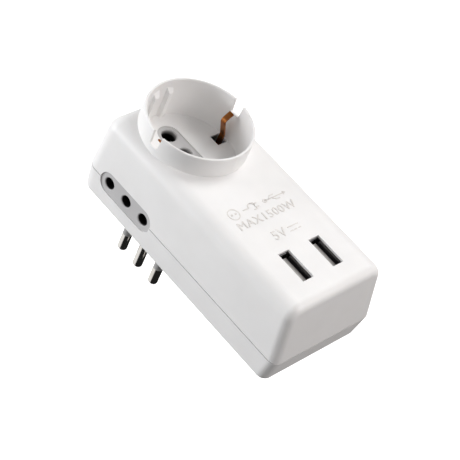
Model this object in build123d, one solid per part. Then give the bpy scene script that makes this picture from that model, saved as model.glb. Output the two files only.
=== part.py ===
from build123d import *
import math
import os

os.makedirs("parts", exist_ok=True)

# Plug-in mains adapter with a German/Italian socket in a collar, an Italian socket on each
# side, and two USB charging ports.
# Frame: the origin is the centre of the earth pin where it leaves the face of the plug neck.
# +Z runs out of the collared socket, the plug pins point along -Z, and +X runs towards the
# USB end. The collared socket, the plug neck and its earth pin share the Z axis.

# Plug: three 4 mm pins in line, 19 mm long, as on an Italian 10 A plug
PIN_PITCH = 9.5
PIN_R = 2.0
PIN_LENGTH = 19.0
PIN_SLEEVE_LENGTH = 10.5
PIN_CORE_R = 1.5
PIN_SHOULDER_R = 1.8
NECK_HEIGHT = 18.5
NECK_LENGTH = 34.0
NECK_WIDTH = 15.0
NECK_WALL = 1.8
NECK_FACE = 2.5

# Case: heights of the underside, the joint between the shells, and the top
UNDERSIDE_Z = NECK_HEIGHT
PARTING_Z = UNDERSIDE_Z + 11.3
TOP_Z = UNDERSIDE_Z + 35.0
# plan of the case at each of those heights: rear X, front X and half width
PLAN_BOTTOM = (-21.2, 81.8, 24.4)
PLAN_PARTING = (-21.8, 83.5, 25.2)
PLAN_TOP = (-20.6, 79.1, 23.75)
WALL = 2.0
LONG_EDGE_R = 6.0
FRONT_R = 3.6
REAR_R = 5.5
BOTTOM_EDGE_R = 1.5
GROOVE = 0.34
LIP_HEIGHT = 1.7
LIP_INSET = 1.1
LIP_GAP = 0.1

# Collared socket
RIM_Z = UNDERSIDE_Z + 43.1
RECESS_R = 19.62
RECESS_DEPTH = 17.6
FLOOR_Z = RIM_Z - RECESS_DEPTH
FLOOR_THICKNESS = 2.5
FLOOR_UNDER_Z = FLOOR_Z - FLOOR_THICKNESS
COLLAR_BASE_R = 21.1
COLLAR_RIM_R = 20.65
RIM_ROUND = 0.45
NOTCH_TOP_WIDTH = 4.64
NOTCH_BOTTOM_WIDTH = 3.8
NOTCH_DEPTH = 5.9
RIB_OFFSET = 3.45
RIB_WIDTH = 3.4
RIB_CREST = 1.8
RIB_DEPTH = 1.7
RIB_TOP_DROP = 3.5
RIB_RAMP = 2.2
CLIP_HOLE = (4.77, 4.6)
CLIP_HOLE_Y = 16.67
CLIP_HOLE_FLOOR = 0.8
CLIP_HOLE_RELIEF = (9.0, 6.6)

# Socket inserts: a plate through the wall and a wider flange behind it
INSERT_LENGTH = 28.0
INSERT_WIDTH = 9.0
INSERT_GAP = 0.06
FLANGE_MARGIN = 1.5
FLANGE_THICKNESS = 2.0
HOLE_CHAMFER = 0.35
TOP_HOLE_R = 2.9
TOP_EARTH_HOLE_R = 2.5
TOP_INSERT_SINK = 0.3
HUB_R = 3.3
HUB_END_Z = FLOOR_UNDER_Z - 5.6
SIDE_SOCKET_X = 1.0
SIDE_SOCKET_Z = PARTING_Z
SIDE_HOLE_R = 2.2
SIDE_INSERT_FACE_Y = 24.6
SIDE_FLANGE_Y = 22.6

# Shutters
ROTOR_THICKNESS = 1.8
ROTOR_Z = HUB_END_Z + 0.3
ROTOR_BORE_GAP = 0.06
ROTOR_HUB_R = 5.4
ROTOR_BLADE_R = 13.2
ROTOR_BLADE_HALF_ANGLE = 20.0
SHUTTER_Y = (18.5, 20.3)
SHUTTER_LENGTH = 26.0
SHUTTER_Z = (PARTING_Z - 2.9, PARTING_Z + 3.1)
SHUTTER_PEG_X = 5.0
SHUTTER_SPRING_R = 1.0
SPRING_WIRE_R = 0.2
GUIDE_WIDTH = 1.3
GUIDE_GAP = 0.3

# Contacts
BUSBAR_THICKNESS = 0.8
BUSBAR_Z = 23.4
BUSBAR_WIDTH = 6.0
BUSBAR_HALF_SPAN = 18.0
TULIP_WALL = 0.7
TOP_TULIP_R = 2.3
TOP_TULIP_END_Z = ROTOR_Z - 0.7
SIDE_TULIP_R = 1.95
SIDE_TULIP_Y = (8.5, 17.6)
TULIP_SLIT = 0.7
RIVET_Z = 10.2
STRAP_Z = 34.0
CLIP_WIDTH = 2.1
CLIP_THICKNESS = 0.7
CLIP_ARM_Y = 17.7
CLIP_NOSE = (14.5, UNDERSIDE_Z + 36.0)
CLIP_TIP = (17.8, UNDERSIDE_Z + 38.6)
CLIP_BEND_R = 1.5

# Case screws
SCREW_PLACES = [(x, s * 18.5) for x in (-17.0, 76.5) for s in (-1, 1)]
BOSS_R = 2.8
SCREW_HEAD_R = 2.1
SCREW_HEAD_Z = UNDERSIDE_Z + 3.0
SCREW_R = 1.1
SCREW_END_Z = PARTING_Z + 9.0
SCREW_GAP = 0.15

# USB ports
PORT_X = 63.93
PORT_Y = 7.6
WINDOW = (13.26, 5.3)
USB_INSIDE = (12.5, 5.12)
USB_SHELL_WALL = 0.3
USB_BOARD_Z = 38.0
BOARD_THICKNESS = 1.6
WINDOW_SKIN = 1.0
WINDOW_RELIEF = (14.6, 7.4)
USB_RIM_Z = TOP_Z - WINDOW_SKIN - 0.2
TONGUE = (11.1, 1.6)
TONGUE_Y = 0.85
TONGUE_END_Z = USB_RIM_Z - 1.7
USB_BASE_HEIGHT = 2.8

# Charger board
BOARD_Z = 24.5
BOARD_X = (27.0, 71.0)
BOARD_HALF_WIDTH = 20.5
BOARD_TOP_Z = BOARD_Z + BOARD_THICKNESS
POST_R = 1.8
BOARD_POSTS = [(x, s * 17.5) for x in (30.0, 68.0) for s in (-1, 1)]

SIDES = {"right": -1, "left": 1}
POLES = {"neutral": -1, "earth": 0, "live": 1}


def rod(radius, z_low, z_high, x=0.0, y=0.0):
    """Upright cylinder between two heights."""
    return Pos(x, y, (z_low + z_high) / 2) * Cylinder(radius, z_high - z_low)


def block(x_range, y_range, z_range):
    """Box between two values on each axis."""
    ranges = (x_range, y_range, z_range)
    centre = [(low + high) / 2 for low, high in ranges]
    return Pos(*centre) * Box(*[high - low for low, high in ranges])


def upright_slot(length, width, z_low, z_high):
    """Stadium-shaped prism along X, upright between two heights."""
    return extrude(Pos(0, 0, z_low) * SlotOverall(length, width), z_high - z_low)


def side_slot(length, width, y_low, y_high, side):
    """Stadium-shaped prism of a side socket, between two distances from the middle."""
    plane = Plane(origin=(SIDE_SOCKET_X, side * y_low, SIDE_SOCKET_Z), x_dir=(1, 0, 0), z_dir=(0, side, 0))
    return extrude(plane * SlotOverall(length, width), y_high - y_low)


def side_rod(radius, y_low, y_high, x, side):
    """Cylinder along Y at the height of the side sockets."""
    middle = side * (y_low + y_high) / 2
    return Pos(x, middle, SIDE_SOCKET_Z) * Rot(90, 0, 0) * Cylinder(radius, y_high - y_low)


def plan_at(z):
    """Rear X, front X and half width of the case's outside at a height."""
    if z < PARTING_Z:
        low, high, low_z, high_z = PLAN_BOTTOM, PLAN_PARTING, UNDERSIDE_Z, PARTING_Z
    else:
        low, high, low_z, high_z = PLAN_PARTING, PLAN_TOP, PARTING_Z, TOP_Z
    share = (z - low_z) / (high_z - low_z)
    return [a + (b - a) * share for a, b in zip(low, high)]


def plan(z, inset):
    """The case's outline at a height, set in from the outside, with sharp corners."""
    rear, front, half = plan_at(z)
    return Pos((rear + front) / 2, 0, z) * Rectangle(front - rear - 2 * inset, 2 * (half - inset))


def rounded_plan(z, inset):
    """The case's outline at a height, set in from the outside, with its rounded corners."""
    outline = plan(z, inset)
    outline = fillet(outline.vertices().group_by(Axis.X)[-1], FRONT_R - inset)
    return fillet(outline.vertices().group_by(Axis.X)[0], REAR_R - inset)


def upper_form(inset):
    """Solid form of the upper half of the case: wide long edges, then both end outlines rounded."""
    top = TOP_Z - inset
    form = loft([plan(PARTING_Z, inset), plan(top, inset)], ruled=True)
    long_edges = form.faces().sort_by(Axis.Z)[-1].edges().filter_by(Axis.X)
    form = fillet(long_edges, LONG_EDGE_R - inset)
    for end, radius in ((-1, FRONT_R), (0, REAR_R)):
        face = form.faces().sort_by(Axis.X)[end]
        edges = [e for e in face.edges() if e.center().Z > PARTING_Z + 0.01]
        form = fillet(edges, radius - inset)
    return form


def lower_form(inset):
    """Solid form of the lower half of the case, rounded round its bottom."""
    bottom = UNDERSIDE_Z + inset
    form = loft([rounded_plan(bottom, inset), rounded_plan(PARTING_Z, inset)], ruled=True)
    if inset == 0:
        form = fillet(form.faces().sort_by(Axis.Z)[0].edges(), BOTTOM_EDGE_R)
    return form


def rebate(z_low, z_high, inset):
    """Everything inside the case's outline, set in, between two heights."""
    return loft([rounded_plan(z_low, inset), rounded_plan(z_high, inset)], ruled=True)


def recess_rib(end, y):
    """Guide rib up the wall of the recess at one end, with a ramp at its top."""
    top = RIM_Z - RIB_TOP_DROP
    wall = RECESS_R + 0.3
    inner = RECESS_R - RIB_DEPTH
    profile = Polygon(
        (end * wall, FLOOR_Z - 0.5),
        (end * inner, FLOOR_Z - 0.5),
        (end * inner, top - RIB_RAMP),
        (end * (wall - 0.5), top),
        (end * wall, top),
        align=None,
    )
    rib = extrude(Plane.XZ * profile, RIB_WIDTH / 2, both=True)
    taper = Polygon(
        (end * wall, -RIB_WIDTH / 2),
        (end * inner, -RIB_CREST / 2),
        (end * inner, RIB_CREST / 2),
        (end * wall, RIB_WIDTH / 2),
        align=None,
    )
    return Pos(0, y, 0) * (rib & extrude(Pos(0, 0, FLOOR_Z - 1) * taper, RECESS_DEPTH + 1, dir=(0, 0, 1)))


def notch(side):
    """Tapered notch down from the rim, for the earth clip's tip."""
    profile = Polygon(
        (-NOTCH_TOP_WIDTH / 2, RIM_Z + 0.01),
        (NOTCH_TOP_WIDTH / 2, RIM_Z + 0.01),
        (NOTCH_BOTTOM_WIDTH / 2, RIM_Z - NOTCH_DEPTH),
        (-NOTCH_BOTTOM_WIDTH / 2, RIM_Z - NOTCH_DEPTH),
        align=None,
    )
    return Pos(0, side * RECESS_R, 0) * extrude(Plane.XZ * profile, 2.5, both=True)


def screw_boss(x, y, z_low, z_high):
    return rod(BOSS_R, z_low, z_high, x, y)


def collar_form():
    """The collar and the wall of the recess, from the underside of its floor to the rim."""
    height = RIM_Z - FLOOR_UNDER_Z
    cone = Cone(COLLAR_BASE_R, COLLAR_RIM_R, height)
    return Pos(0, 0, FLOOR_UNDER_Z + height / 2) * cone


def upper_shell():
    """Top half of the case with the collar, the recess and the USB windows, moulded in one."""
    outside = upper_form(0) + collar_form()
    collar = collar_form()
    hollow = upper_form(WALL) - collar
    shell = outside - hollow - rod(RECESS_R, FLOOR_Z, RIM_Z + 1)
    rim_edges = [e for e in shell.edges() if abs(e.center().Z - RIM_Z) < 0.01]
    shell = fillet(rim_edges, RIM_ROUND)
    for end in (-1, 1):
        for y in (-RIB_OFFSET, RIB_OFFSET):
            shell += recess_rib(end, y)
    shell -= rebate(PARTING_Z - 1, PARTING_Z + LIP_HEIGHT + LIP_GAP, LIP_INSET - LIP_GAP)
    for x, y in SCREW_PLACES:
        boss = screw_boss(x, y, PARTING_Z, TOP_Z - LONG_EDGE_R)
        shell += boss & upper_form(LIP_INSET)
        shell -= rod(SCREW_R + 0.05, PARTING_Z - 1, SCREW_END_Z + 1, x, y)
    for side in (-1, 1):
        shell -= notch(side)
        shell -= side_slot(INSERT_LENGTH + 2 * INSERT_GAP, INSERT_WIDTH + 2 * INSERT_GAP, 22, 27, side)
        shell -= Pos(0, side * CLIP_HOLE_Y, FLOOR_Z) * Box(*CLIP_HOLE, 3 * FLOOR_THICKNESS)
        relief_height = FLOOR_THICKNESS - CLIP_HOLE_FLOOR
        relief = Box(*CLIP_HOLE_RELIEF, 2 * relief_height)
        shell -= Pos(0, side * (CLIP_HOLE_Y - 0.4), FLOOR_UNDER_Z) * relief
        shell -= Pos(PORT_X, side * PORT_Y, TOP_Z) * Box(*WINDOW, 3 * WALL)
        relief = Box(*WINDOW_RELIEF, 2 * (WALL - WINDOW_SKIN))
        shell -= Pos(PORT_X, side * PORT_Y, TOP_Z - WALL) * relief
    shell -= upright_slot(
        INSERT_LENGTH + 2 * INSERT_GAP, INSERT_WIDTH + 2 * INSERT_GAP, FLOOR_UNDER_Z - 1, FLOOR_Z + 1
    )
    groove = rebate(PARTING_Z - 1, PARTING_Z + GROOVE / 2, -1)
    groove -= rebate(PARTING_Z - 2, PARTING_Z + 1, LIP_INSET - LIP_GAP)
    return shell - groove


def lower_shell():
    """Bottom half of the case with the plug neck, and the lip that locates the upper shell."""
    shell = lower_form(0) - lower_form(WALL)
    neck = upright_slot(NECK_LENGTH, NECK_WIDTH, 0, UNDERSIDE_Z + 0.5)
    neck = fillet(neck.faces().sort_by(Axis.Z)[0].edges(), 1.0)
    bore = upright_slot(NECK_LENGTH - 2 * NECK_WALL, NECK_WIDTH - 2 * NECK_WALL, NECK_FACE, PARTING_Z)
    shell = shell + neck - bore
    lip = rebate(PARTING_Z - 2, PARTING_Z + LIP_HEIGHT, LIP_INSET)
    lip -= rebate(PARTING_Z - 3, PARTING_Z + LIP_HEIGHT + 1, WALL)
    floor = UNDERSIDE_Z + WALL - 0.5
    bosses = [screw_boss(x, y, floor, PARTING_Z) for x, y in SCREW_PLACES]
    for boss in bosses:
        shell += boss & lower_form(0)
    groove_low = PARTING_Z - GROOVE / 2
    shell -= rebate(groove_low, PARTING_Z, -1) - rebate(groove_low - 1, PARTING_Z + 1, LIP_INSET)
    for x, y in BOARD_POSTS:
        shell += rod(POST_R, floor, BOARD_Z, x, y)
    for pole in POLES.values():
        centre = busbar_x(pole)
        for side in (-1, 1):
            shell += block((centre - 1.5, centre + 1.5), sorted((side * 9, side * 12)), (floor, BUSBAR_Z))
    shell += lip
    for x, y in SCREW_PLACES:
        shell -= rod(SCREW_R + SCREW_GAP, UNDERSIDE_Z - 1, PARTING_Z + LIP_HEIGHT + 1, x, y)
        shell -= rod(SCREW_HEAD_R + SCREW_GAP, UNDERSIDE_Z - 1, SCREW_HEAD_Z, x, y)
        shell -= rod(BOSS_R + 0.3, PARTING_Z - GROOVE / 2, PARTING_Z + LIP_HEIGHT + 1, x, y)
    for side in (-1, 1):
        shell -= side_slot(INSERT_LENGTH + 2 * INSERT_GAP, INSERT_WIDTH + 2 * INSERT_GAP, 22, 27, side)
    for pole in POLES.values():
        shell -= rod(PIN_SHOULDER_R + 0.05, -1, NECK_FACE + 1, pole * PIN_PITCH)
    return shell


def case_screws():
    """Four self-tapping screws with a cross recess, up from the underside."""
    screws = []
    for x, y in SCREW_PLACES:
        head = rod(SCREW_HEAD_R, SCREW_HEAD_Z - 1.6, SCREW_HEAD_Z, x, y)
        for size in ((2.6, 0.6), (0.6, 2.6)):
            head -= Pos(x, y, SCREW_HEAD_Z - 1.6) * Box(*size, 1.4)
        screws.append(head + rod(SCREW_R, SCREW_HEAD_Z - 0.1, SCREW_END_Z, x, y))
    return Compound(screws)


def busbar_x(pole):
    """Centre of a busbar: half way between its top contact and its side contacts."""
    return pole * PIN_PITCH + SIDE_SOCKET_X / 2


def top_socket_insert():
    """Grey insert in the floor of the recess, with the hub that the rotary shutter turns on."""
    flange_top = FLOOR_UNDER_Z - 0.2
    flange_low = flange_top - FLANGE_THICKNESS
    insert = upright_slot(INSERT_LENGTH, INSERT_WIDTH, flange_low, FLOOR_Z - TOP_INSERT_SINK)
    insert += upright_slot(
        INSERT_LENGTH + 2 * FLANGE_MARGIN, INSERT_WIDTH + 2 * FLANGE_MARGIN, flange_low, flange_top
    )
    insert += rod(HUB_R, HUB_END_Z, flange_low + 0.5)
    for pole in POLES.values():
        radius = TOP_HOLE_R if pole else TOP_EARTH_HOLE_R
        insert -= rod(radius, HUB_END_Z - 1, FLOOR_Z, pole * PIN_PITCH)
    face = insert.faces().filter_by(Axis.Z).sort_by(Axis.Z)[-1]
    rims = [w.edges() for w in face.inner_wires()]
    return chamfer([e for edges in rims for e in edges], HOLE_CHAMFER)


def side_socket_insert(side):
    """Grey three-hole insert held between the shells, with the guides of its shutter behind."""
    back = SIDE_FLANGE_Y - FLANGE_THICKNESS
    insert = side_slot(INSERT_LENGTH, INSERT_WIDTH, back, SIDE_INSERT_FACE_Y, side)
    insert += side_slot(
        INSERT_LENGTH + 2 * FLANGE_MARGIN, INSERT_WIDTH + 2 * FLANGE_MARGIN, back, SIDE_FLANGE_Y, side
    )
    reach = SHUTTER_LENGTH / 2 + GUIDE_GAP
    for end in (-1, 1):
        x_range = sorted((SIDE_SOCKET_X + end * reach, SIDE_SOCKET_X + end * (reach + GUIDE_WIDTH)))
        y_range = sorted((side * (SHUTTER_Y[0] - 0.2), side * (back + 0.2)))
        insert += block(x_range, y_range, (SIDE_SOCKET_Z - 4.0, SIDE_SOCKET_Z + 4.0))
    for pole in POLES.values():
        x = SIDE_SOCKET_X + pole * PIN_PITCH
        insert -= side_rod(SIDE_HOLE_R, back - 1, SIDE_INSERT_FACE_Y + 1, x, side)
    faces = insert.faces().filter_by(Axis.Y).sort_by(Axis.Y)
    face = faces[-1] if side > 0 else faces[0]
    rims = [w.edges() for w in face.inner_wires()]
    return chamfer([e for edges in rims for e in edges], HOLE_CHAMFER)


def top_shutter():
    """Rotor with two blades that cover the live and neutral holes until both pins push them round."""
    rotor = rod(ROTOR_HUB_R, ROTOR_Z, ROTOR_Z + ROTOR_THICKNESS)
    half = math.radians(ROTOR_BLADE_HALF_ANGLE)
    for turn in (0, 180):
        corner = (ROTOR_BLADE_R * math.cos(half), ROTOR_BLADE_R * math.sin(half))
        outline = Line((0, 0), corner) + ThreePointArc(corner, (ROTOR_BLADE_R, 0), (corner[0], -corner[1]))
        outline += Line((corner[0], -corner[1]), (0, 0))
        blade = extrude(Pos(0, 0, ROTOR_Z) * make_face(outline), ROTOR_THICKNESS)
        rotor += Rot(0, 0, turn) * blade
    return rotor - rod(HUB_R + ROTOR_BORE_GAP, ROTOR_Z - 1, ROTOR_Z + ROTOR_THICKNESS + 1)


def coil(radius, wire_r, z_low, z_high, turns, x=0.0, y=0.0):
    """Open coil of round wire between two heights, its wire's surface included."""
    height = z_high - z_low - 2 * wire_r
    path = Pos(x, y, z_low + wire_r) * Helix(height / turns, height, radius)
    section = Plane(origin=path @ 0, z_dir=path % 0) * Circle(wire_r)
    return sweep(section, path=path, is_frenet=True)


def side_shutter(side):
    """Sliding plate behind a side insert, slotted for the earth pin, with a peg for its spring."""
    half = SHUTTER_LENGTH / 2
    y_range = sorted(side * y for y in SHUTTER_Y)
    plate = block((SIDE_SOCKET_X - half, SIDE_SOCKET_X + half), y_range, SHUTTER_Z)
    slot_top = SIDE_SOCKET_Z + PIN_R + 0.4
    slot = (SIDE_SOCKET_X - PIN_R - 0.4, SIDE_SOCKET_X + PIN_R + 0.4)
    plate -= block(slot, sorted((side * 15, side * 22)), (SHUTTER_Z[0] - 1, slot_top))
    middle = side * sum(SHUTTER_Y) / 2
    peg_r = SHUTTER_SPRING_R - SPRING_WIRE_R - 0.15
    return plate + rod(peg_r, SHUTTER_Z[1] - 0.5, SHUTTER_Z[1] + 1.2, SIDE_SOCKET_X + SHUTTER_PEG_X, middle)


def side_shutter_spring(side):
    """Return spring between a side shutter and the underside of the recess floor."""
    middle = side * sum(SHUTTER_Y) / 2
    low, high = SHUTTER_Z[1] + 0.02, FLOOR_UNDER_Z - 0.02
    return coil(SHUTTER_SPRING_R, SPRING_WIRE_R, low, high, 6, SIDE_SOCKET_X + SHUTTER_PEG_X, middle)


def plug_pin(pole):
    """Nickel-plated brass pin, with a locating ring and a rivet end; thinner under its sleeve."""
    x = pole * PIN_PITCH
    blade_top = -PIN_SLEEVE_LENGTH if pole else 0
    pin = rod(PIN_R, -PIN_LENGTH, blade_top, x)
    pin = fillet(pin.faces().sort_by(Axis.Z)[0].edges(), 1.1)
    if not pole:
        pin += rod(PIN_SHOULDER_R, blade_top - 0.5, NECK_FACE, x)
    pin += rod(PIN_CORE_R, blade_top - 0.5, RIVET_Z + 1.7, x)
    pin += rod(PIN_R + 0.9, NECK_FACE + 0.1, NECK_FACE + 1.6, x)
    return pin + rod(2.3, RIVET_Z + 0.82, RIVET_Z + 1.7, x)


def pin_sleeve(pole):
    """Insulating sleeve, flush with the pin below it."""
    x = pole * PIN_PITCH
    sleeve = rod(PIN_R, -PIN_SLEEVE_LENGTH, 0, x) + rod(PIN_SHOULDER_R, -1, NECK_FACE - 0.05, x)
    return sleeve - rod(PIN_CORE_R, -PIN_LENGTH, RIVET_Z, x)


def pin_carrier():
    """Block inside the neck that grips the three pins."""
    length = NECK_LENGTH - 2 * NECK_WALL - 0.4
    width = NECK_WIDTH - 2 * NECK_WALL - 0.4
    carrier = upright_slot(length, width, NECK_FACE + 1.7, RIVET_Z - 0.05)
    for pole in POLES.values():
        carrier -= rod(PIN_CORE_R + 0.02, 0, RIVET_Z + 1, pole * PIN_PITCH)
    return carrier


def tulip(inner_r, length):
    """Slit spring tube, upright from the origin, open at its slit."""
    tube = rod(inner_r + TULIP_WALL, 0, length) - rod(inner_r, -1, length + 1)
    return tube - Pos(0, inner_r, length / 2) * Box(TULIP_SLIT, 4 * TULIP_WALL, length + 2)


def busbar(pole):
    """Folded brass bar with a tab on the plug pin, a riser, and a spring tube for each socket."""
    x = pole * PIN_PITCH
    centre = busbar_x(pole)
    half = BUSBAR_WIDTH / 2
    top = BUSBAR_Z + BUSBAR_THICKNESS
    bar = block((centre - half, centre + half), (-BUSBAR_HALF_SPAN, BUSBAR_HALF_SPAN), (BUSBAR_Z, top))
    bar += block((x - 2.7, x + 2.7), (3.4, 4.2), (RIVET_Z, top))
    tab = block((x - 2.7, x + 2.7), (-3, 4.2), (RIVET_Z + 0.01, RIVET_Z + 0.81))
    bar += tab
    bar -= rod(PIN_CORE_R + 0.02, RIVET_Z - 1, RIVET_Z + 2, x)
    tube_length = TOP_TULIP_END_Z - top
    bar += Pos(x, 0, top - 0.05) * tulip(TOP_TULIP_R, tube_length)
    for side in (-1, 1):
        low, high = SIDE_TULIP_Y
        socket_x = SIDE_SOCKET_X + x
        turn = Rot(-90, 0, 0) if side > 0 else Rot(90, 0, 180)
        place = Pos(socket_x, side * low, SIDE_SOCKET_Z)
        tube = tulip(SIDE_TULIP_R, high - low)
        bar += place * turn * Rot(0, 0, 180) * tube
        leg = block(
            (socket_x - 2, socket_x + 2),
            sorted((side * 13, side * high)),
            (top - 0.05, SIDE_SOCKET_Z - SIDE_TULIP_R - 0.05),
        )
        bar += leg
    return bar


def earth_clip():
    """Copper-plated strap round the earth tube, whose two sprung arms rise inside the recess."""
    strap_top = STRAP_Z + BUSBAR_THICKNESS
    reach = CLIP_ARM_Y + CLIP_THICKNESS / 2
    strap = block((-2, 2), (-reach, reach), (STRAP_Z, strap_top)) + rod(5.2, STRAP_Z, strap_top)
    strap -= rod(TOP_TULIP_R + TULIP_WALL + 0.03, STRAP_Z - 1, strap_top + 1)
    for side in (-1, 1):
        points = [
            (0, side * CLIP_ARM_Y, STRAP_Z + 0.1),
            (0, side * CLIP_ARM_Y, FLOOR_Z + 2.4),
            (0, side * CLIP_NOSE[0], CLIP_NOSE[1]),
            (0, side * CLIP_TIP[0], CLIP_TIP[1]),
        ]
        path = FilletPolyline(*points, radius=CLIP_BEND_R)
        section = Plane(origin=path @ 0, x_dir=(1, 0, 0), z_dir=(0, 0, 1)) * Rectangle(CLIP_WIDTH, CLIP_THICKNESS)
        strap += sweep(section, path=path)
    return strap


def usb_shell(side):
    """Folded steel shell of an upright USB-A receptacle."""
    outside = [size + 2 * USB_SHELL_WALL for size in USB_INSIDE]
    low = USB_BOARD_Z + BOARD_THICKNESS
    height = USB_RIM_Z - low
    middle = Pos(PORT_X, side * PORT_Y, low + height / 2)
    return middle * (Box(*outside, height) - Box(*USB_INSIDE, height + 1))


def usb_tongue(side):
    """Insulator of a receptacle: its base and the tongue that carries the contacts."""
    low = USB_BOARD_Z + BOARD_THICKNESS + 0.02
    base = Pos(PORT_X, side * PORT_Y, low + USB_BASE_HEIGHT / 2) * Box(
        USB_INSIDE[0] - 0.1, USB_INSIDE[1] - 0.1, USB_BASE_HEIGHT
    )
    height = TONGUE_END_Z - low
    tongue = Pos(PORT_X, side * PORT_Y + TONGUE_Y, low + height / 2) * Box(*TONGUE, height)
    return base + tongue


def usb_contacts(side):
    """Four gold-plated contacts on the free face of the tongue."""
    low = USB_BOARD_Z + BOARD_THICKNESS + USB_BASE_HEIGHT + 0.05
    face = side * PORT_Y + TONGUE_Y - TONGUE[1] / 2
    strips = []
    for offset in (-3.5, -1.25, 1.25, 3.5):
        x = PORT_X + offset
        strips.append(block((x - 0.5, x + 0.5), (face - 0.27, face - 0.02), (low, TONGUE_END_Z - 0.6)))
    return Compound(strips)


def charger_board():
    return block(BOARD_X, (-BOARD_HALF_WIDTH, BOARD_HALF_WIDTH), (BOARD_Z, BOARD_TOP_Z))


def usb_board():
    return block((54, 74), (-15, 15), (USB_BOARD_Z, USB_BOARD_Z + BOARD_THICKNESS))


def board_headers():
    """Pin headers that carry the USB board over the charger board."""
    rows = [block((67.2, 69.7), (y - 5, y + 5), (BOARD_TOP_Z, USB_BOARD_Z)) for y in (-8, 8)]
    return Compound(rows)


def transformer_core():
    """Ferrite core with three legs, flat on the board."""
    core = block((36, 54), (-12, -6), (BOARD_TOP_Z, BOARD_TOP_Z + 15))
    for x_range in ((39.5, 42.5), (47.5, 50.5)):
        core -= block(x_range, (-13, -5), (BOARD_TOP_Z + 3.5, BOARD_TOP_Z + 11.5))
    return core


def transformer_winding():
    """Taped winding on its bobbin, round the middle leg."""
    low, high = BOARD_TOP_Z + 3.7, BOARD_TOP_Z + 11.3
    winding = block((39.6, 50.4), (-15.5, -2.5), (low, high))
    winding = fillet(winding.edges().filter_by(Axis.Z), 2.0)
    winding -= block((42.4, 47.6), (-12.1, -5.9), (low - 1, high + 1))
    for x_range in ((39, 39.65), (50.35, 51)):
        winding -= block(x_range, (-12.1, -5.9), (low - 1, high + 1))
    return winding


def input_capacitor():
    """High-voltage electrolytic capacitor lying along the board."""
    can = Pos(38.5, 10, BOARD_TOP_Z + 5.4) * Rot(0, 90, 0) * Cylinder(5, 17)
    return fillet(can.edges().filter_by(GeomType.CIRCLE), 0.6)


def output_capacitors():
    """Two upright low-voltage capacitors under the USB board."""
    cans = []
    for y in (-13.5, 13.5):
        can = rod(3.8, BOARD_TOP_Z, BOARD_TOP_Z + 10.5, 58, y)
        cans.append(fillet(can.edges().filter_by(GeomType.CIRCLE), 0.5))
    return Compound(cans)


def bridge_rectifier():
    return block((28.5, 33), (-3, 3), (BOARD_TOP_Z, BOARD_TOP_Z + 2.6))


def controller_chip():
    return block((49, 54), (2, 6), (BOARD_TOP_Z, BOARD_TOP_Z + 1.6))


def optocoupler():
    return block((55.5, 60), (-3.2, 3.2), (BOARD_TOP_Z, BOARD_TOP_Z + 3.5))


def fuse_resistor():
    """Fusible resistor in the live feed, lying along X."""
    body = Pos(33, -16.5, BOARD_TOP_Z + 1.8) * Rot(0, 90, 0) * Cylinder(1.6, 8)
    return fillet(body.edges().filter_by(GeomType.CIRCLE), 0.5)


def suppression_capacitor():
    """Blue ceramic disc across the transformer, standing on edge."""
    body = Pos(46, -18.2, BOARD_TOP_Z + 3.9) * Rot(90, 0, 0) * Cylinder(3.6, 3)
    return fillet(body.edges().filter_by(GeomType.CIRCLE), 1.0)


def arc_radii(points):
    """The radius of each bend of a wire's route: as large as its two runs allow."""
    radii = []
    for before, here, after in zip(points, points[1:], points[2:]):
        into = Vector(*here) - Vector(*before)
        out = Vector(*after) - Vector(*here)
        half_turn = math.radians(into.get_angle(out) / 2)
        radii.append(0.45 * min(into.length, out.length) / math.tan(half_turn))
    return radii


def feed_wire(points, radius):
    """Insulated wire from a busbar to the charger board."""
    radii = arc_radii(points)
    print("wire bend radii", [round(r, 1) for r in radii])
    path = FilletPolyline(*points, radius=radii)
    section = Plane(origin=path @ 0, z_dir=path % 0) * Circle(radius)
    return sweep(section, path=path)


WIRE_R = 0.8
WIRE_Z = BUSBAR_Z + BUSBAR_THICKNESS + WIRE_R + 0.05
LIVE_ROUTE = [
    (9.0, -6.2, WIRE_Z),
    (16.0, -6.4, WIRE_Z),
    (22.0, -7.4, WIRE_Z + 3.0),
    (28.0, -9.0, WIRE_Z + 7.0),
    (33.0, -9.4, WIRE_Z + 4.5),
    (34.0, -9.3, BOARD_TOP_Z + 0.4),
]
NEUTRAL_ROUTE = [
    (-10.0, 6.2, WIRE_Z),
    (0.0, 6.3, WIRE_Z),
    (9.0, 6.1, WIRE_Z),
    (17.0, 5.4, WIRE_Z + 0.6),
    (24.0, 4.6, WIRE_Z + 5.4),
    (31.0, 4.4, WIRE_Z + 8.6),
    (36.0, 3.6, WIRE_Z + 5.2),
    (37.0, 3.4, BOARD_TOP_Z + 0.4),
]

nodes = {
    "upper_shell": upper_shell(),
    "lower_shell": lower_shell(),
    "case_screws": case_screws(),
    "top_socket_insert": top_socket_insert(),
    "top_shutter": top_shutter(),
    "top_shutter_spring": coil(HUB_R + 0.75, SPRING_WIRE_R, ROTOR_Z + ROTOR_THICKNESS + 0.05, ROTOR_Z + 3.1, 2),
    "pin_carrier": pin_carrier(),
    "earth_clip": earth_clip(),
    "charger_board": charger_board(),
    "usb_board": usb_board(),
    "board_headers": board_headers(),
    "transformer_core": transformer_core(),
    "transformer_winding": transformer_winding(),
    "input_capacitor": input_capacitor(),
    "output_capacitors": output_capacitors(),
    "bridge_rectifier": bridge_rectifier(),
    "controller_chip": controller_chip(),
    "optocoupler": optocoupler(),
    "fuse_resistor": fuse_resistor(),
    "suppression_capacitor": suppression_capacitor(),
    "live_wire": feed_wire(LIVE_ROUTE, WIRE_R),
    "neutral_wire": feed_wire(NEUTRAL_ROUTE, WIRE_R),
}
for name, pole in POLES.items():
    nodes[f"{name}_pin"] = plug_pin(pole)
    nodes[f"{name}_busbar"] = busbar(pole)
    if pole:
        nodes[f"{name}_pin_sleeve"] = pin_sleeve(pole)
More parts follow.
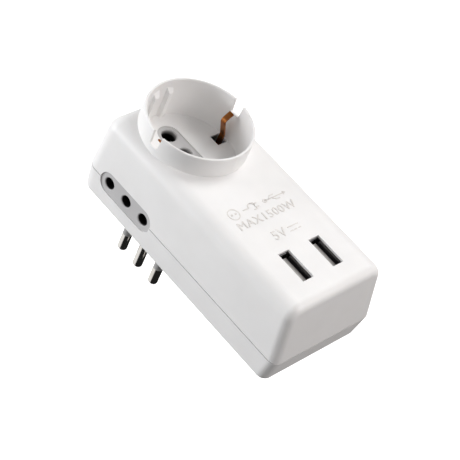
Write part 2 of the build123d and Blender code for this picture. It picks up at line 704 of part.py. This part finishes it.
for name, side in SIDES.items():
    nodes[f"{name}_socket_insert"] = side_socket_insert(side)
    nodes[f"{name}_shutter"] = side_shutter(side)
    nodes[f"{name}_shutter_spring"] = side_shutter_spring(side)
    nodes[f"{name}_usb_shell"] = usb_shell(side)
    nodes[f"{name}_usb_tongue"] = usb_tongue(side)
    nodes[f"{name}_usb_contacts"] = usb_contacts(side)

for name, shape in nodes.items():
    export_step(shape, f"parts/{name}.step")
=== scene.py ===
import math

import bpy
import numpy as np
from mathutils import Matrix, Vector


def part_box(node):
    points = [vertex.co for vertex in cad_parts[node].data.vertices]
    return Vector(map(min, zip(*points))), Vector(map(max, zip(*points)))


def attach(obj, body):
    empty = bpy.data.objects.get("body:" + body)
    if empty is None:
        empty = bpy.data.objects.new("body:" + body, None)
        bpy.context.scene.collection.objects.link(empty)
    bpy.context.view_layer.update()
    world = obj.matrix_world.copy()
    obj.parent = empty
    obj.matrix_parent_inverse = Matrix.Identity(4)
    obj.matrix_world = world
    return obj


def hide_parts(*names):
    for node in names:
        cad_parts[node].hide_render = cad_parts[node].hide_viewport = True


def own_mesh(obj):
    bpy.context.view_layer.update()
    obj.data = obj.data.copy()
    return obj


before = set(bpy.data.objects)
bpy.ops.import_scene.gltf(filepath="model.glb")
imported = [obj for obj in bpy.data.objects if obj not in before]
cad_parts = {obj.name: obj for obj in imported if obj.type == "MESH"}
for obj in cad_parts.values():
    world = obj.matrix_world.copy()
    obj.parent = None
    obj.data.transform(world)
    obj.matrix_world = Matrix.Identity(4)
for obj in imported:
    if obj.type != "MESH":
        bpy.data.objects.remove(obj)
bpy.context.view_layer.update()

# ---------------------------------------------------------------------------------------
# Case: two shells injection-moulded in white ABS and screwed together along a fine joint.
# The tool was spark eroded very finely, so the surface is satin with a tiny even grain.
# ---------------------------------------------------------------------------------------

MM = 0.001


def colour(code):
    """Linear RGBA of an sRGB hex colour."""
    channels = [int(code[i : i + 2], 16) / 255 for i in (0, 2, 4)]
    linear = [c / 12.92 if c <= 0.04045 else ((c + 0.055) / 1.055) ** 2.4 for c in channels]
    return (*linear, 1.0)


def add(material, kind, sockets=None, **settings):
    """Adds a node, sets its options, and fills its sockets with numbers, colours or outputs."""
    made = material.node_tree.nodes.new(kind)
    for name, value in settings.items():
        setattr(made, name, value)
    for name, value in (sockets or {}).items():
        if isinstance(value, bpy.types.NodeSocket):
            material.node_tree.links.new(value, made.inputs[name])
        else:
            made.inputs[name].default_value = value
    return made


def blank(name, **constants):
    """A material with its own shader, and the shader's sockets that are constant."""
    material = bpy.data.materials.new(name)
    material.use_nodes = True
    shader = material.node_tree.nodes["Principled BSDF"]
    for socket, value in constants.items():
        shader.inputs[socket.replace("_", " ")].default_value = value
    return material, shader


def speckle(material, size, detail=2.0, stretch=(1, 1, 1)):
    """Noise in the object's own metres, with features of about the size given."""
    place = add(material, "ShaderNodeTexCoord").outputs["Object"]
    scaled = add(material, "ShaderNodeMapping", {"Vector": place, "Scale": stretch})
    return add(
        material,
        "ShaderNodeTexNoise",
        {"Vector": scaled.outputs["Vector"], "Scale": 1 / size, "Detail": detail, "Roughness": 0.55},
    ).outputs["Fac"]


def between(material, value, low, high, from_low=0.3, from_high=0.7):
    """Maps the middle of a pattern's range onto two values."""
    return add(
        material,
        "ShaderNodeMapRange",
        {"Value": value, "From Min": from_low, "From Max": from_high, "To Min": low, "To Max": high},
    ).outputs["Result"]


def tint(material, value, first, second):
    """Colour between two, by a pattern's value."""
    ends = {"Factor": value, "A": colour(first), "B": colour(second)}
    return add(material, "ShaderNodeMix", ends, data_type="RGBA").outputs["Result"]


def raised(material, height, depth):
    """Bump from a pattern, as deep in metres as given."""
    sockets = {"Height": height, "Distance": depth, "Strength": 1.0}
    return add(material, "ShaderNodeBump", sockets).outputs["Normal"]


def drive(material, shader, **outputs):
    """Links patterns to the shader's sockets."""
    for socket, output in outputs.items():
        material.node_tree.links.new(output, shader.inputs[socket.replace("_", " ")])


def moulded(name, light, dark, rough, grain, depth, **constants):
    """Moulded plastic: slow drift in colour and gloss from the flow, and an even eroded grain."""
    material, shader = blank(name, **constants)
    drift = speckle(material, 18 * MM, 3.0)
    fine = speckle(material, grain, 3.0)
    drive(
        material,
        shader,
        Base_Color=tint(material, between(material, drift, 0.0, 1.0), light, dark),
        Roughness=between(material, drift, rough - 0.04, rough + 0.04),
        Normal=raised(material, fine, depth),
    )
    return material


def finish(material, *nodes):
    """Gives CAD nodes a material."""
    for node in nodes:
        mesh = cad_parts[node].data
        mesh.materials.clear()
        mesh.materials.append(material)


white_abs = moulded(
    "moulded white ABS, fine spark-eroded",
    "F3F2F1",
    "EEEDEC",
    rough=0.46,
    grain=0.22 * MM,
    depth=0.006 * MM,
    IOR=1.54,
    Subsurface_Weight=0.08,
    Subsurface_Radius=(1.0, 0.9, 0.8),
    Subsurface_Scale=1.2 * MM,
)
finish(white_abs, "upper_shell", "lower_shell")

# ---------------------------------------------------------------------------------------
# Raised marks on the top: engraved in the tool, so they stand 0.16 mm proud in the shell's
# own ABS. The engraving was polished, and the marks are painted a little greyer than the
# grained top, as painted shade of the raised strokes.
# ---------------------------------------------------------------------------------------

TOP_Z = 53.5 * MM
MARK_HEIGHT = 0.16 * MM
MARK_SINK = 0.05 * MM
MARK_STROKE = 0.42 * MM
# painted shade: the marks' colour is a little greyer than the top's, for the shade on the raised
# strokes
painted_shade_marks_abs = moulded(
    "moulded white ABS, polished engraving with painted shade",
    "DEDAD6",
    "D8D4D0",
    rough=0.35,
    grain=1.5 * MM,
    depth=0.002 * MM,
    IOR=1.54,
)


def stroke(path, closed=False):
    """Raised line: a profile with sloping sides carried along a path on the top face.

    Point (i, j) is path[i] + across[j] * normal[i], at height rise[j]; the normal is the
    path's direction turned a quarter turn. Open ends are closed by the profile's own face.
    """
    path = np.asarray(path, float)
    if closed:
        ahead = np.roll(path, -1, 0) - np.roll(path, 1, 0)
    else:
        ahead = np.gradient(path, axis=0)
    ahead /= np.linalg.norm(ahead, axis=1)[:, None]
    normal = np.stack([ahead[:, 1], -ahead[:, 0]], 1)
    foot, crest = 0.5, 0.36  # half widths, as shares of the stroke
    across = np.array([-foot, -crest, crest, foot]) * MARK_STROKE
    rise = np.array([-MARK_SINK, MARK_HEIGHT, MARK_HEIGHT, -MARK_SINK]) + TOP_Z
    flat = path[:, None, :] + across[None, :, None] * normal[:, None, :]
    heights = np.broadcast_to(rise[None, :, None], flat.shape[:2] + (1,))
    points = np.concatenate([flat, heights], 2)
    count, sides = points.shape[:2]
    i = np.arange(count if closed else count - 1)[:, None]
    j = np.arange(sides)[None, :]
    here, onward = i * sides, (i + 1) % count * sides
    beside = (j + 1) % sides
    quads = np.stack([here + j, here + beside, onward + beside, onward + j], -1)
    faces = quads.reshape(-1, 4).tolist()
    if not closed:
        last = (count - 1) * sides
        faces += [[3, 2, 1, 0], [last, last + 1, last + 2, last + 3]]
    return points.reshape(-1, 3), faces


def piece(name, parts, material, body):
    """One mesh from several parts, each a pair of points and faces, riding on a body."""
    points, faces, start = [], [], 0
    for part_points, part_faces in parts:
        points.append(part_points)
        faces += [[index + start for index in face] for face in part_faces]
        start += len(part_points)
    mesh = bpy.data.meshes.new(name)
    mesh.from_pydata(np.concatenate(points).tolist(), [], faces)
    mesh.validate()
    made = bpy.data.objects.new(name, mesh)
    bpy.context.collection.objects.link(made)
    mesh.materials.append(material)
    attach(made, body)
    return made


def ring(x, y, radius, start=0.0, end=360.0, steps=48):
    """Points along a circle or an arc on the top face, in metres, from millimetres."""
    closed = end - start >= 360
    turns = np.radians(np.linspace(start, end, steps, endpoint=not closed))
    return np.stack([x + radius * np.cos(turns), y + radius * np.sin(turns)], 1) * MM


def line(*corners):
    """Points along a straight mark, in metres, from millimetres."""
    return np.asarray(corners, float) * MM


# a row of plain pictograms along Y: a round socket, a plug on its lead, a USB fork
symbols = [
    stroke(ring(36.4, -12.7, 2.3), closed=True),
    stroke(ring(36.4, -13.6, 0.3, steps=16), closed=True),
    stroke(ring(36.4, -11.8, 0.3, steps=16), closed=True),
    stroke(line((36.4, -8.2), (36.4, -5.4))),
    stroke(ring(36.4, -3.9, 1.5, 90, 270, 24)),
    stroke(line((34.9, -3.9), (34.9, -2.4), (37.9, -2.4), (37.9, -3.9))),
]
for offset in (-0.8, 0.8):
    symbols.append(stroke(line((36.4 + offset, -2.4), (36.4 + offset, -0.8))))
symbols += [
    stroke(line((36.4, 2.6), (36.4, 12.4))),
    stroke(ring(36.4, 2.6, 0.7, steps=20), closed=True),
    stroke(line((35.8, 11.8), (36.4, 13.0), (37.0, 11.8))),
    stroke(line((36.4, 4.6), (35.2, 6.0), (35.2, 7.8))),
    stroke(line((36.4, 6.2), (37.6, 7.6), (37.6, 9.4))),
]
marks = piece("top_pictograms", symbols, painted_shade_marks_abs, "case")


def lettering(name, words, x, y, height, length):
    """Generic rating in raised letters, read from the USB end, its baseline along Y.

    The words are stretched to the height and length given, in metres.
    """
    text = bpy.data.curves.new(name, "FONT")
    text.body = words
    text.space_character = 1.1
    text.extrude = (MARK_HEIGHT + MARK_SINK) / 2
    text.resolution_u = 4
    holder = bpy.data.objects.new(name, text)
    bpy.context.collection.objects.link(holder)
    bpy.context.view_layer.update()
    shaped = holder.evaluated_get(bpy.context.evaluated_depsgraph_get())
    mesh = bpy.data.meshes.new_from_object(shaped)
    bpy.data.objects.remove(holder)
    points = np.empty(3 * len(mesh.vertices))
    mesh.vertices.foreach_get("co", points)
    low, high = points.reshape(-1, 3).min(0), points.reshape(-1, 3).max(0)
    wide, tall = (high - low)[:2]
    stretch = Matrix.Diagonal((length / wide, height / tall, 1, 1))
    corner = Matrix.Translation((-low[0], -low[1], 0))
    place = Matrix.Translation((x, y, TOP_Z + (MARK_HEIGHT - MARK_SINK) / 2))
    mesh.transform(place @ Matrix.Rotation(math.pi / 2, 4, "Z") @ stretch @ corner)
    made = bpy.data.objects.new(name, mesh)
    bpy.context.collection.objects.link(made)
    mesh.materials.clear()
    mesh.materials.append(painted_shade_marks_abs)
    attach(made, "case")


lettering("rating_power", "MAX1500W", 43.4 * MM, -15.0 * MM, height=3.3 * MM, length=27.7 * MM)
lettering("rating_voltage", "5V", 52.2 * MM, -6.1 * MM, height=3.7 * MM, length=6.2 * MM)
direct_current = [stroke(line((49.6, 1.7), (49.6, 7.0)))]
for start in (1.7, 3.7, 5.7):
    direct_current.append(stroke(line((51.4, start), (51.4, start + 1.3))))
piece("direct_current_mark", direct_current, painted_shade_marks_abs, "case")

# ---------------------------------------------------------------------------------------
# Socket inserts and the pin carrier: heat-resistant grey polyamide. In the inserts, painted
# shade: the colour turns black from a depth under the face, so the holes are grey only at
# their rims and black further in, where shade falls. The glass filler shows as a faint mottle.
# ---------------------------------------------------------------------------------------

INSERT_TINTS = ("C4C3C3", "BCBBBB")
# near-black painted as shade deep in the insert holes
INSERT_PAINTED_SHADE = "0E0D0D"
INSERT_SKIN = {"rough": 0.46, "grain": 0.35 * MM, "depth": 0.008 * MM, "IOR": 1.53}


def shade_by_depth(name, axis, face, grey, black):
    """Polyamide that is grey down to one depth under its face, with painted shade: black from
    another.
    """
    material = moulded(name, *INSERT_TINTS, **INSERT_SKIN)
    shader = material.node_tree.nodes["Principled BSDF"]
    skin = shader.inputs["Base Color"].links[0].from_socket
    place = add(material, "ShaderNodeTexCoord").outputs["Object"]
    along = add(material, "ShaderNodeSeparateXYZ", {"Vector": place}).outputs[axis]
    outward = add(material, "ShaderNodeMath", {0: along}, operation="ABSOLUTE").outputs["Value"]
    # painted shade: the colour is mixed towards black by depth under the face, for the shade in the
    # holes
    share = between(material, outward, 0.0, 1.0, face - black, face - grey)
    painted_shade_ends = {"Factor": share, "A": colour(INSERT_PAINTED_SHADE), "B": skin}
    mixed = add(material, "ShaderNodeMix", painted_shade_ends, data_type="RGBA")
    drive(material, shader, Base_Color=mixed.outputs["Result"])
    return material


TOP_INSERT_FACE = 43.7 * MM
SIDE_INSERT_FACE = 24.6 * MM
top_shade_by_depth = shade_by_depth(
    "polyamide, painted shade by depth, top insert", "Z", TOP_INSERT_FACE, grey=0.4 * MM, black=2.3 * MM
)
finish(top_shade_by_depth, "top_socket_insert")
side_shade_by_depth = shade_by_depth(
    "polyamide, painted shade by depth, side insert", "Y", SIDE_INSERT_FACE, grey=0.1 * MM, black=0.4 * MM
)
finish(side_shade_by_depth, "left_socket_insert", "right_socket_insert")
grey_polyamide = moulded("moulded grey polyamide, glass filled", *INSERT_TINTS, **INSERT_SKIN)
finish(grey_polyamide, "pin_carrier")

# ---------------------------------------------------------------------------------------
# Shutters: three small plates of acetal, slippery so that they slide dry. Each is pushed
# back by a spring wound from hard-drawn stainless wire, which drawing leaves finely mottled.
# ---------------------------------------------------------------------------------------

acetal = moulded(
    "moulded acetal, black", "1E1E1F", "181819", rough=0.3, grain=0.6 * MM, depth=0.004 * MM, IOR=1.48
)
finish(acetal, "top_shutter", "left_shutter", "right_shutter")


def metal(name, light, dark, rough, size, depth, stretch=(1, 1, 1)):
    """Metal: a mottle of tarnish in its colour, and fine marks, drawn out where stretch is low."""
    material, shader = blank(name, Metallic=1.0)
    stain = speckle(material, 4 * MM, 4.0)
    lines = speckle(material, size, 3.0, stretch)
    drive(
        material,
        shader,
        Base_Color=tint(material, between(material, stain, 0.0, 1.0), light, dark),
        Roughness=between(material, lines, rough - 0.07, rough + 0.07),
        Normal=raised(material, lines, depth),
    )
    return material


drawn_steel = metal(
    "stainless spring wire, drawn", "A9A8A6", "979694", rough=0.3, size=0.12 * MM, depth=0.003 * MM
)
finish(drawn_steel, "top_shutter_spring")

SPRING_WIRE = 0.2 * MM
SPRING_TURNS = 6
WIRE_SIDES = 12
TURN_STEPS = 24


def wound_spring(x, y, low, high, radius):
    """Round wire wound on an upright helix, closed at both ends.

    Ring i is centred at angle turn[i] round the helix. Its point j is at
    wire * (cos(v[j]) * outward + sin(v[j]) * across), where across is square to the wire.
    """
    turn = np.linspace(0, 2 * math.pi * SPRING_TURNS, TURN_STEPS * SPRING_TURNS + 1)
    v = np.linspace(0, 2 * math.pi, WIRE_SIDES, endpoint=False)
    climb = (high - low - 2 * SPRING_WIRE) / turn[-1]
    outward = np.stack([np.cos(turn), np.sin(turn), 0 * turn], 1)
    along = np.stack([-radius * np.sin(turn), radius * np.cos(turn), climb + 0 * turn], 1)
    along /= np.linalg.norm(along, axis=1)[:, None]
    across = np.cross(outward, along)
    start = np.array([x, y, low + SPRING_WIRE])
    centre = start + radius * outward + (climb * turn)[:, None] * [0, 0, 1]
    cosine, sine = np.cos(v)[None, :, None], np.sin(v)[None, :, None]
    points = centre[:, None] + SPRING_WIRE * (cosine * outward[:, None] + sine * across[:, None])
    first = np.arange(len(turn) - 1)[:, None] * WIRE_SIDES
    j = np.arange(WIRE_SIDES)[None, :]
    here, beside = first + j, first + (j + 1) % WIRE_SIDES
    quads = np.stack([here, here + WIRE_SIDES, beside + WIRE_SIDES, beside], -1).reshape(-1, 4)
    last = (len(turn) - 1) * WIRE_SIDES
    ends = [list(range(WIRE_SIDES)), list(range(last + WIRE_SIDES - 1, last - 1, -1))]
    return points.reshape(-1, 3), quads.tolist() + ends


# each lifting shutter squeezes its spring against the underside of the recess
for side in ("left", "right"):
    low, high = (np.asarray(corner, float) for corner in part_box(f"{side}_shutter_spring"))
    x, y = (low + high)[:2] / 2
    coil = wound_spring(x, y, low[2], high[2], (high - low)[0] / 2 - SPRING_WIRE)
    spring = piece(f"{side}_return_spring", [coil], drawn_steel, f"{side}_shutter_body")
    for face in spring.data.polygons:
        face.use_smooth = len(face.vertices) == 4
    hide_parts(f"{side}_shutter_spring")
    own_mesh(spring)

# ---------------------------------------------------------------------------------------
# Plug pins: solid brass turned to 4 mm with a rounded end, then nickel plated. Live and
# neutral wear a moulded nylon sleeve, flush with the metal, so no finger meets a live pin.
# ---------------------------------------------------------------------------------------

nickel = metal(
    "nickel-plated brass, turned",
    "D9D6D2",
    "CBC7C1",
    rough=0.14,
    size=0.1 * MM,
    depth=0.0015 * MM,
    stretch=(0.2, 0.2, 3),
)
finish(nickel, "live_pin", "neutral_pin", "earth_pin")
sleeve_nylon = moulded(
    "moulded nylon sleeve, dark grey",
    "A5A4A3",
    "9B9A99",
    rough=0.4,
    grain=0.4 * MM,
    depth=0.005 * MM,
    IOR=1.53,
)
finish(sleeve_nylon, "live_pin_sleeve", "neutral_pin_sleeve")

# ---------------------------------------------------------------------------------------
# Contacts: busbars folded from rolled brass strip, and the earth clip from spring bronze
# with a copper flash, which shows as a warm orange with patches of darker tarnish.
# ---------------------------------------------------------------------------------------

rolled_brass = metal(
    "rolled brass strip",
    "D9B366",
    "C79C4E",
    rough=0.28,
    size=0.15 * MM,
    depth=0.002 * MM,
    stretch=(1, 0.08, 1),
)
finish(rolled_brass, "live_busbar", "neutral_busbar", "earth_busbar")
copper_flash = metal(
    "copper-flashed spring bronze",
    "BD7A42",
    "8A4F27",
    rough=0.34,
    size=0.2 * MM,
    depth=0.004 * MM,
    stretch=(1, 1, 0.1),
)
finish(copper_flash, "earth_clip")

# ---------------------------------------------------------------------------------------
# USB ports: a shell folded from tinned steel, a grey thermoplastic tongue, and four
# contacts stamped from bronze and flashed with gold.
# ---------------------------------------------------------------------------------------

tinned_steel = metal(
    "tinned steel, folded",
    "8F8F91",
    "7F7F82",
    rough=0.22,
    size=0.12 * MM,
    depth=0.002 * MM,
    stretch=(0.1, 1, 1),
)
finish(tinned_steel, "left_usb_shell", "right_usb_shell")
port_plastic = moulded(
    "moulded port plastic, light grey",
    "C4C1BE",
    "BAB7B4",
    rough=0.4,
    grain=0.3 * MM,
    depth=0.004 * MM,
    IOR=1.55,
)
finish(port_plastic, "left_usb_tongue", "right_usb_tongue")
gold_flash = metal(
    "gold-flashed bronze",
    "E2B45A",
    "D0A048",
    rough=0.22,
    size=0.1 * MM,
    depth=0.001 * MM,
    stretch=(1, 1, 0.1),
)
finish(gold_flash, "left_usb_contacts", "right_usb_contacts")

# ---------------------------------------------------------------------------------------
# Circuit boards: glass laminate 1.6 mm thick under green solder resist. The copper tracks
# beneath stand a little proud and lighter, on the grid that the parts are laid out on.
# ---------------------------------------------------------------------------------------

TRACK_PITCH = 2.54 * MM
TRACK_WIDTH = 0.35 * MM
solder_resist, board_shader = blank(
    "glass laminate, green solder resist", Roughness=0.3, IOR=1.5, Coat_Weight=0.3
)
board_place = add(solder_resist, "ShaderNodeTexCoord").outputs["Object"]
tracks = add(
    solder_resist,
    "ShaderNodeTexBrick",
    {
        "Vector": board_place,
        "Scale": 1.0,
        "Mortar Size": TRACK_WIDTH,
        "Brick Width": 5 * TRACK_PITCH,
        "Row Height": TRACK_PITCH,
    },
).outputs["Fac"]
drive(
    solder_resist,
    board_shader,
    Base_Color=tint(solder_resist, tracks, "1E5A33", "2F7A45"),
    Normal=raised(solder_resist, tracks, 0.035 * MM),
)
finish(solder_resist, "charger_board", "usb_board")

# ---------------------------------------------------------------------------------------
# Chips and headers: moulded in black epoxy. The tool is left rough, so the surface is dull
# and print holds on it.
# ---------------------------------------------------------------------------------------

black_epoxy = moulded(
    "moulded black epoxy, matt",
    "1F1F20",
    "161617",
    rough=0.55,
    grain=0.2 * MM,
    depth=0.008 * MM,
    IOR=1.55,
)
finish(black_epoxy, "board_headers", "bridge_rectifier", "controller_chip", "optocoupler")

# ---------------------------------------------------------------------------------------
# Transformer: two halves of sintered ferrite, ground where they meet, round a winding
# wrapped in yellow polyester tape whose turns show as low steps.
# ---------------------------------------------------------------------------------------

ferrite, ferrite_shader = blank("sintered ferrite, ground", IOR=2.2)
grains = speckle(ferrite, 0.25 * MM, 4.0)
drive(
    ferrite,
    ferrite_shader,
    Base_Color=tint(ferrite, between(ferrite, grains, 0.0, 1.0), "2E2D2F", "1C1B1D"),
    Roughness=between(ferrite, grains, 0.45, 0.7),
    Normal=raised(ferrite, grains, 0.01 * MM),
)
finish(ferrite, "transformer_core")

yellow_tape, tape_shader = blank("polyester tape, wound", Roughness=0.28, IOR=1.57)
tape_place = add(yellow_tape, "ShaderNodeTexCoord").outputs["Object"]
TAPE_STEP = 1.9 * MM
turns = add(
    yellow_tape,
    "ShaderNodeTexWave",
    {"Vector": tape_place, "Scale": 0.1 / TAPE_STEP * math.pi, "Distortion": 0.6},
    bands_direction="Z",
    wave_profile="SAW",
).outputs["Fac"]
drive(
    yellow_tape,
    tape_shader,
    Base_Color=tint(yellow_tape, turns, "E6B422", "D9A311"),
    Normal=raised(yellow_tape, turns, 0.05 * MM),
)
finish(yellow_tape, "transformer_winding")

# ---------------------------------------------------------------------------------------
# Capacitors and resistor: aluminium cans in shrunk PVC sleeves, glossy with slight wrinkles,
# a ceramic disc dipped in blue epoxy, and a resistor dipped in duller silicone lacquer.
# ---------------------------------------------------------------------------------------


def lacquered(name, light, dark, rough, size, depth):
    """Glossy skin over a part: a slow swell from how it shrank or ran, and a clear coat."""
    material, shader = blank(name, IOR=1.5, Coat_Weight=0.5, Coat_Roughness=0.12)
    swell = speckle(material, size, 3.0)
    drive(
        material,
        shader,
        Base_Color=tint(material, between(material, swell, 0.0, 1.0), light, dark),
        Roughness=between(material, swell, rough - 0.05, rough + 0.05),
        Normal=raised(material, swell, depth),
    )
    return material


for node, name, light, dark, rough, size, depth in (
    ("input_capacitor", "shrunk PVC sleeve, dark blue", "1B2440", "141B31", 0.3, 1.6, 0.03),
    ("output_capacitors", "shrunk PVC sleeve, black", "1A1B1F", "131417", 0.3, 1.4, 0.03),
    ("suppression_capacitor", "dipped epoxy, blue", "2F5E9E", "284F88", 0.25, 2.2, 0.05),
    ("fuse_resistor", "dipped silicone lacquer, grey green", "8FA39A", "7F938A", 0.5, 1.2, 0.04),
):
    finish(lacquered(name, light, dark, rough, size * MM, depth * MM), node)

# ---------------------------------------------------------------------------------------
# Wires: stranded copper in extruded PVC, brown for live and blue for neutral. The strands
# press through the insulation as a faint lay.
# ---------------------------------------------------------------------------------------

for node, name, light, dark in (
    ("live_wire", "extruded PVC, brown", "5B3420", "4E2B19"),
    ("neutral_wire", "extruded PVC, blue", "2C5FA8", "255294"),
):
    finish(lacquered(name, light, dark, rough=0.38, size=0.9 * MM, depth=0.02 * MM), node)

# ---------------------------------------------------------------------------------------
# Case screws: case-hardened steel, zinc plated and blue passivated, with a cross recess.
# ---------------------------------------------------------------------------------------

zinc = metal(
    "zinc-plated steel, passivated", "B9BDC2", "A7ACB3", rough=0.32, size=0.3 * MM, depth=0.004 * MM
)
finish(zinc, "case_screws")

# ---------------------------------------------------------------------------------------
# Studio: a plain pale floor under the plug pins, three softboxes (high on the rear side, low
# beside the three-hole socket, high beyond the USB end), and a pale surround.
# ---------------------------------------------------------------------------------------

FLOOR_Z = -19.2 * MM
FLOOR_REACH = 3.0
FLOOR_CELLS = 12
floor_mesh = bpy.data.meshes.new("studio_floor")
reach = np.linspace(-FLOOR_REACH, FLOOR_REACH, FLOOR_CELLS + 1)
floor_x, floor_y = np.meshgrid(reach, reach, indexing="ij")
floor_points = np.stack([floor_x, floor_y, np.full_like(floor_x, FLOOR_Z)], 2).reshape(-1, 3)
row = FLOOR_CELLS + 1
cell = np.arange(FLOOR_CELLS)
corner = (cell[:, None] * row + cell[None, :]).reshape(-1)
floor_quads = np.stack([corner, corner + row, corner + row + 1, corner + 1], 1)
floor_mesh.from_pydata(floor_points.tolist(), [], floor_quads.tolist())
floor = bpy.data.objects.new("studio_floor", floor_mesh)
bpy.context.collection.objects.link(floor)

# the floor glows white where the camera sees it, and is a grey paint to all other light
pale_floor, floor_shader = blank(
    "studio floor, pale paint", Roughness=0.9, Base_Color=colour("6E6E6E")
)
glow = add(pale_floor, "ShaderNodeEmission", {"Color": colour("FFFFFF"), "Strength": 0.75})
paint = add(pale_floor, "ShaderNodeBsdfDiffuse", {"Color": colour("FAFAFA")})
lit = add(pale_floor, "ShaderNodeAddShader")
seen = add(pale_floor, "ShaderNodeLightPath")
either = add(pale_floor, "ShaderNodeMixShader", {"Fac": seen.outputs["Is Camera Ray"]})
floor_output = pale_floor.node_tree.nodes["Material Output"]
for source, target in (
    (glow.outputs[0], lit.inputs[0]),
    (paint.outputs[0], lit.inputs[1]),
    (floor_shader.outputs[0], either.inputs[1]),
    (lit.outputs[0], either.inputs[2]),
    (either.outputs[0], floor_output.inputs["Surface"]),
):
    pale_floor.node_tree.links.new(source, target)
floor_mesh.materials.append(pale_floor)
floor.visible_glossy = False


def softbox(name, place, aim, size, power, shade):
    """Square area light at a place, facing a point."""
    lamp = bpy.data.lights.new(name, "AREA")
    lamp.color = colour(shade)[:3]
    lamp.size = size
    lamp.energy = power
    holder = bpy.data.objects.new(name, lamp)
    bpy.context.collection.objects.link(holder)
    facing = (Vector(aim) - Vector(place)).to_track_quat("-Z", "Y")
    holder.matrix_world = Matrix.Translation(place) @ facing.to_matrix().to_4x4()


MIDDLE = (0.03, 0.0, 0.035)
softbox("overhead", (-0.12, 0.66, 0.92), MIDDLE, size=0.55, power=5.3, shade="FFFFFF")
softbox("side", (-0.54, -0.58, 0.12), MIDDLE, size=0.4, power=6.1, shade="FCFDFF")
softbox("end", (0.78, 0.42, 0.7), MIDDLE, size=0.45, power=4.9, shade="FFF9F7")

# the surround is even for soft light; in reflections from below it is a white wall behind
# the pins and a dark room on the USB side, which gives each pin a bright and a dark half
SURROUND = 0.35
WHITE_WALL, DARK_ROOM = 1.1, 0.02
world = bpy.data.worlds.new("pale surround")
world.use_nodes = True
direction = add(world, "ShaderNodeTexCoord").outputs["Generated"]
heading = add(world, "ShaderNodeSeparateXYZ", {"Vector": direction})
wall = between(world, heading.outputs["X"], WHITE_WALL, DARK_ROOM, from_low=-0.12, from_high=0.06)
below = between(world, heading.outputs["Z"], 1.0, 0.0, from_low=-0.25, from_high=-0.05)
glossy = add(world, "ShaderNodeLightPath").outputs["Is Glossy Ray"]
mirrored = add(world, "ShaderNodeMath", {0: below, 1: glossy}, operation="MULTIPLY").outputs["Value"]
strength = add(world, "ShaderNodeMix", {"Factor": mirrored, "A": SURROUND, "B": wall})
background = world.node_tree.nodes["Background"]
background.inputs["Color"].default_value = colour("FFFFFF")
world.node_tree.links.new(strength.outputs["Result"], background.inputs["Strength"])
bpy.context.scene.world = world
bpy.context.scene.view_settings.view_transform = "Standard"

# ---------------------------------------------------------------------------------------
# Camera: long lens, high over the USB end's near corner, and rolled. The azimuth is turned
# from -Y towards +X.
# ---------------------------------------------------------------------------------------

AZIMUTH, ELEVATION, ROLL = (math.radians(angle) for angle in (29.48, 43.32, 25.91))
DISTANCE = 0.5939
TARGET = Vector((0.0307, -0.00035, 0.0335))
FOCAL_LENGTH, SENSOR_WIDTH = 129.94, 36  # millimetres, as the camera takes them
flat = math.cos(ELEVATION)
back = Vector((math.sin(AZIMUTH) * flat, -math.cos(AZIMUTH) * flat, math.sin(ELEVATION)))
level = Vector((math.cos(AZIMUTH), math.sin(AZIMUTH), 0))
upright = back.cross(level)
right = level * math.cos(ROLL) + upright * math.sin(ROLL)
up = upright * math.cos(ROLL) - level * math.sin(ROLL)
lens = bpy.data.cameras.new("camera")
lens.lens = FOCAL_LENGTH
lens.sensor_width = SENSOR_WIDTH
camera = bpy.data.objects.new("camera", lens)
bpy.context.collection.objects.link(camera)
turn = Matrix((right, up, back)).transposed().to_4x4()
camera.matrix_world = Matrix.Translation(TARGET + back * DISTANCE) @ turn
bpy.context.scene.camera = camera
